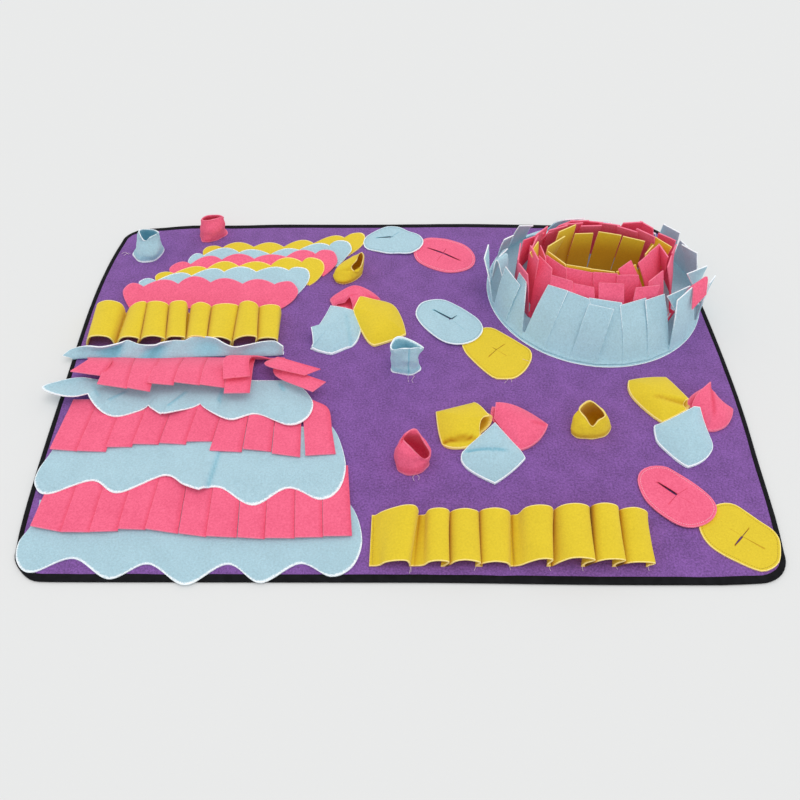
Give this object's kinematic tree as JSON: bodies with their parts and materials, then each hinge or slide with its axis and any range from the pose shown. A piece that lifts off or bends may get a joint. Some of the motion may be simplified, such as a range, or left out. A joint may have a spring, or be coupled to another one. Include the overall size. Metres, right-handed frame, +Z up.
{
  "type": "snuffle mat",
  "caption": "Flat bound felt mat with rows of wavy flaps, fringes, loops, scalloped strips, cups, slit ovals, pocket petals and a round tongued nest for hiding dog treats.",
  "frame": {"origin": "middle of the mat's flat underside", "axes": "+X along the mat to the right, +Y across it from the front edge to the rear edge, +Z up out of the felt face"},
  "size_m": [1.064, 0.7447, 0.1033],
  "materials": {
    "purple_felt": "matt needle-punched felt",
    "pink_felt": "matt needle-punched felt",
    "blue_felt": "matt needle-punched felt",
    "yellow_felt": "matt needle-punched felt",
    "binding_tape": "matt woven tape"
  },
  "bodies": {
    "root": {"mat_base": "purple_felt", "edge_binding": "binding_tape", "rear_loops": "yellow_felt", "front_loops": "yellow_felt", "flap_1": "blue_felt", "flap_2": "blue_felt", "flap_3": "blue_felt", "flap_4": "blue_felt", "fringe_1": "pink_felt", "fringe_2": "pink_felt", "fringe_3": "pink_felt", "cloud_1": "pink_felt", "cloud_2": "blue_felt", "cloud_3": "yellow_felt", "cloud_4": "pink_felt", "cloud_5": "blue_felt", "cloud_6": "yellow_felt", "oval_1_pink": "pink_felt", "oval_1_blue": "blue_felt", "oval_2_yellow": "yellow_felt", "oval_2_blue": "blue_felt", "oval_3_yellow": "yellow_felt", "oval_3_pink": "pink_felt", "cup_blue_rear": "blue_felt", "cup_pink_rear": "pink_felt", "cup_blue_mid": "blue_felt", "cup_yellow_mid": "yellow_felt", "cup_pink_front": "pink_felt", "cup_yellow_front": "yellow_felt", "petal_a_pink": "pink_felt", "petal_a_blue": "blue_felt", "petal_a_yellow": "yellow_felt", "petal_b_yellow": "yellow_felt", "petal_b_pink": "pink_felt", "petal_b_blue": "blue_felt", "petal_c_yellow": "yellow_felt", "petal_c_pink": "pink_felt", "petal_c_blue": "blue_felt", "nest_disc": "blue_felt", "nest_blue": "blue_felt", "nest_pink_outer": "pink_felt", "nest_pink_inner": "pink_felt", "nest_yellow": "yellow_felt"}
  },
  "joints": []
}
